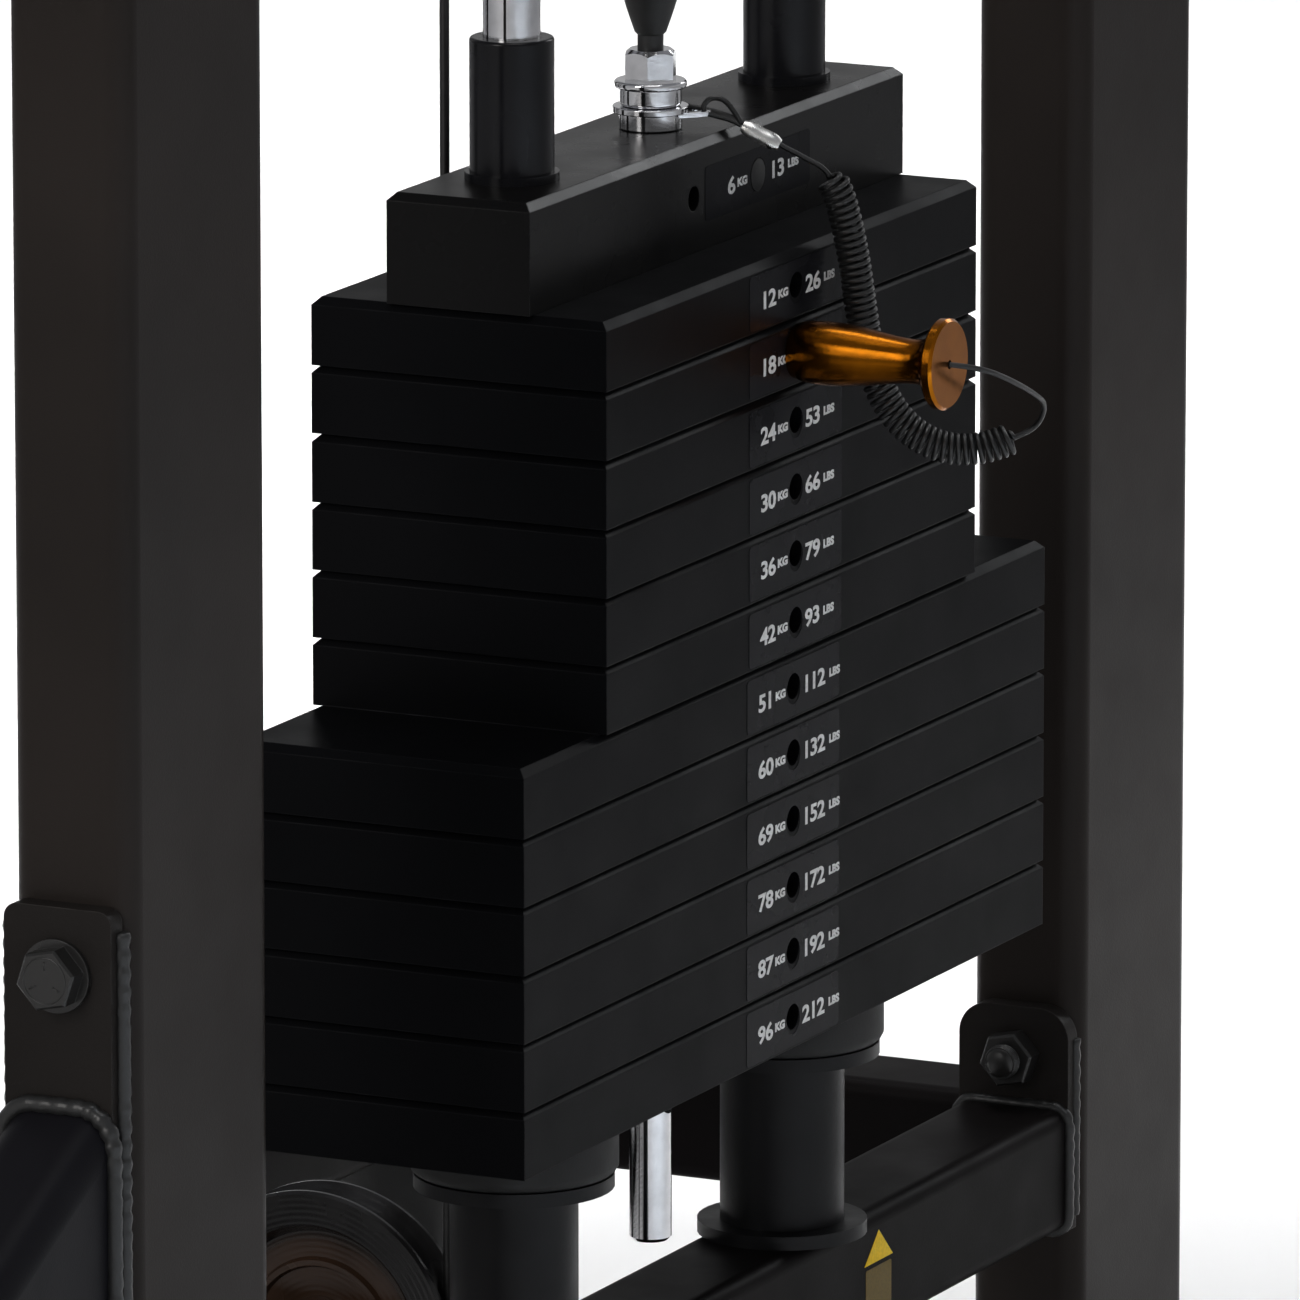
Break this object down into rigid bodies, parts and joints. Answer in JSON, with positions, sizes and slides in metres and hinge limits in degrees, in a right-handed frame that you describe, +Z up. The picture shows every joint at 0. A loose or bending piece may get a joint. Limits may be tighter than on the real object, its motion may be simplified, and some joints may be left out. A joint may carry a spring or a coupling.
{
  "type": "cable crossover machine",
  "caption": "Two weight-stack towers joined by an overhead beam, each with a selector pin, guide rods, cable pulleys and a swivelling stirrup handle.",
  "frame": {"origin": "on the floor, in the middle of the machine's footprint", "axes": "+Z up, Y from tower to tower (the left tower is at -Y), X along the weight plates and across each tower"},
  "size_m": [1.748, 3.6636, 2.26],
  "materials": {
    "powder_coat": "matte fine-textured black powder coat",
    "plate_paint": "satin black paint on steel plate",
    "head_paint": "satin black paint on steel",
    "chrome": "polished chrome",
    "zinc": "bright zinc",
    "black_bolt": "black oxide",
    "gold_aluminium": "orange-gold anodised, polished",
    "black_plastic": "moulded black plastic, slightly glossy",
    "pulley_plastic": "moulded black nylon",
    "rubber": "black rubber",
    "cable": "black nylon-coated wire rope",
    "lanyard": "black coated curly cord",
    "webbing": "black nylon webbing"
  },
  "bodies": {
    "root": {"resting_plates": "plate_paint", "guide_rods": "chrome", "bumper_spools": "black_plastic", "bumper_pads": "rubber", "uprights": "powder_coat", "frame_rails": "powder_coat", "rear_posts": "powder_coat", "overhead_beam": "powder_coat", "bolted_plates": "powder_coat", "outrigger_legs": "powder_coat", "leg_bolts": "black_bolt", "rubber_feet": "rubber", "pulley_brackets": "powder_coat", "fixed_cables": "cable", "left_lift_cable": "cable", "left_block_cable": "cable", "left_loop_cables": "cable", "left_handle_cable": "cable", "right_lift_cable": "cable", "right_block_cable": "cable", "right_loop_cables": "cable", "right_handle_cable": "cable"},
    "left_stack": {"left_lifted_plates": "plate_paint", "left_head_plate": "head_paint", "left_guide_bushes": "black_plastic", "left_selector_stem": "chrome", "left_cable_boot": "rubber"},
    "left_pin": {"left_selector_pin": "gold_aluminium", "left_lanyard": "lanyard"},
    "left_top_pulley": {"left_top_pulley": "pulley_plastic"},
    "left_bottom_pulley": {"left_bottom_pulley": "pulley_plastic"},
    "left_exit_pulley": {"left_exit_pulley": "pulley_plastic"},
    "left_float_pulley": {"left_float_pulley": "pulley_plastic"},
    "left_swivel_pulley": {"left_swivel_pulley": "pulley_plastic"},
    "left_float": {"left_float_block": "powder_coat", "left_float_turn": "cable"},
    "left_swivel": {"left_swivel_bracket": "powder_coat"},
    "left_handle": {"left_cable_stop": "rubber", "left_carabiner": "zinc", "left_handle_strap": "webbing"},
    "left_grip": {"left_handle_grip": "rubber"},
    "right_stack": {"right_lifted_plates": "plate_paint", "right_head_plate": "head_paint", "right_guide_bushes": "black_plastic", "right_selector_stem": "chrome", "right_cable_boot": "rubber"},
    "right_pin": {"right_selector_pin": "gold_aluminium", "right_lanyard": "lanyard"},
    "right_top_pulley": {"right_top_pulley": "pulley_plastic"},
    "right_bottom_pulley": {"right_bottom_pulley": "pulley_plastic"},
    "right_exit_pulley": {"right_exit_pulley": "pulley_plastic"},
    "right_float_pulley": {"right_float_pulley": "pulley_plastic"},
    "right_swivel_pulley": {"right_swivel_pulley": "pulley_plastic"},
    "right_float": {"right_float_block": "powder_coat", "right_float_turn": "cable"},
    "right_swivel": {"right_swivel_bracket": "powder_coat"},
    "right_handle": {"right_cable_stop": "rubber", "right_carabiner": "zinc", "right_handle_strap": "webbing"},
    "right_grip": {"right_handle_grip": "rubber"}
  },
  "joints": [
    {"name": "left_stack_lift", "type": "slide", "parent": "root", "child": "left_stack", "axis": [0, 0, 1], "range_m": [0, 0.7], "deforming": ["left_lift_cable"]},
    {"name": "left_pin_pull", "type": "slide", "parent": "left_stack", "child": "left_pin", "axis": [0, -1, 0], "range_m": [0, 0.11]},
    {"name": "left_float_rise", "type": "slide", "parent": "root", "child": "left_float", "axis": [0, 0, 1], "range_m": [0, 0.7], "deforming": ["left_block_cable", "left_loop_cables"]},
    {"name": "left_swivel_turn", "type": "hinge", "parent": "root", "child": "left_swivel", "pos_m": [0, -1.369, 1.93], "axis": [0, 0, 1], "range_deg": [-80, 80]},
    {"name": "left_handle_pull", "type": "slide", "parent": "root", "child": "left_handle", "axis": [0, 0, -1], "range_m": [0, 1.4], "deforming": ["left_handle_cable"]},
    {"name": "left_grip_spin", "type": "hinge", "parent": "left_handle", "child": "left_grip", "pos_m": [0, -1.369, 1.652], "axis": [1, 0, 0], "continuous": true},
    {"name": "left_top_pulley_spin", "type": "hinge", "parent": "root", "child": "left_top_pulley", "pos_m": [0, -1.6595, 2.11], "axis": [1, 0, 0], "continuous": true},
    {"name": "left_bottom_pulley_spin", "type": "hinge", "parent": "root", "child": "left_bottom_pulley", "pos_m": [0, -1.569, 0.094], "axis": [1, 0, 0], "continuous": true},
    {"name": "left_float_pulley_spin", "type": "hinge", "parent": "left_float", "child": "left_float_pulley", "pos_m": [0, -1.519, 0.9], "axis": [1, 0, 0], "continuous": true},
    {"name": "left_exit_pulley_spin", "type": "hinge", "parent": "root", "child": "left_exit_pulley", "pos_m": [0, -1.419, 2.11], "axis": [1, 0, 0], "continuous": true},
    {"name": "left_swivel_pulley_spin", "type": "hinge", "parent": "left_swivel", "child": "left_swivel_pulley", "pos_m": [0, -1.329, 1.93], "axis": [1, 0, 0], "continuous": true},
    {"name": "right_stack_lift", "type": "slide", "parent": "root", "child": "right_stack", "axis": [0, 0, 1], "range_m": [0, 0.7], "deforming": ["right_lift_cable"]},
    {"name": "right_pin_pull", "type": "slide", "parent": "right_stack", "child": "right_pin", "axis": [0, 1, 0], "range_m": [0, 0.11]},
    {"name": "right_float_rise", "type": "slide", "parent": "root", "child": "right_float", "axis": [0, 0, 1], "range_m": [0, 0.7], "deforming": ["right_block_cable", "right_loop_cables"]},
    {"name": "right_swivel_turn", "type": "hinge", "parent": "root", "child": "right_swivel", "pos_m": [0, 1.369, 1.93], "axis": [0, 0, 1], "range_deg": [-80, 80]},
    {"name": "right_handle_pull", "type": "slide", "parent": "root", "child": "right_handle", "axis": [0, 0, -1], "range_m": [0, 1.4], "deforming": ["right_handle_cable"]},
    {"name": "right_grip_spin", "type": "hinge", "parent": "right_handle", "child": "right_grip", "pos_m": [0, 1.369, 1.652], "axis": [-1, 0, 0], "continuous": true},
    {"name": "right_top_pulley_spin", "type": "hinge", "parent": "root", "child": "right_top_pulley", "pos_m": [0, 1.6595, 2.11], "axis": [-1, 0, 0], "continuous": true},
    {"name": "right_bottom_pulley_spin", "type": "hinge", "parent": "root", "child": "right_bottom_pulley", "pos_m": [0, 1.569, 0.094], "axis": [-1, 0, 0], "continuous": true},
    {"name": "right_float_pulley_spin", "type": "hinge", "parent": "right_float", "child": "right_float_pulley", "pos_m": [0, 1.519, 0.9], "axis": [-1, 0, 0], "continuous": true},
    {"name": "right_exit_pulley_spin", "type": "hinge", "parent": "root", "child": "right_exit_pulley", "pos_m": [0, 1.419, 2.11], "axis": [-1, 0, 0], "continuous": true},
    {"name": "right_swivel_pulley_spin", "type": "hinge", "parent": "right_swivel", "child": "right_swivel_pulley", "pos_m": [0, 1.329, 1.93], "axis": [-1, 0, 0], "continuous": true}
  ],
  "couplings": [
    {"joint": "left_float_rise", "follows": "left_stack_lift", "ratio": 1},
    {"joint": "left_handle_pull", "follows": "left_stack_lift", "ratio": 2},
    {"joint": "left_top_pulley_spin", "follows": "left_stack_lift", "rad_per_m": -24.691},
    {"joint": "left_bottom_pulley_spin", "follows": "left_stack_lift", "rad_per_m": 20},
    {"joint": "left_float_pulley_spin", "follows": "left_stack_lift", "rad_per_m": 20},
    {"joint": "left_exit_pulley_spin", "follows": "left_stack_lift", "rad_per_m": -40},
    {"joint": "left_swivel_pulley_spin", "follows": "left_stack_lift", "rad_per_m": 50},
    {"joint": "right_float_rise", "follows": "right_stack_lift", "ratio": 1},
    {"joint": "right_handle_pull", "follows": "right_stack_lift", "ratio": 2},
    {"joint": "right_top_pulley_spin", "follows": "right_stack_lift", "rad_per_m": -24.691},
    {"joint": "right_bottom_pulley_spin", "follows": "right_stack_lift", "rad_per_m": 20},
    {"joint": "right_float_pulley_spin", "follows": "right_stack_lift", "rad_per_m": 20},
    {"joint": "right_exit_pulley_spin", "follows": "right_stack_lift", "rad_per_m": -40},
    {"joint": "right_swivel_pulley_spin", "follows": "right_stack_lift", "rad_per_m": 50}
  ]
}
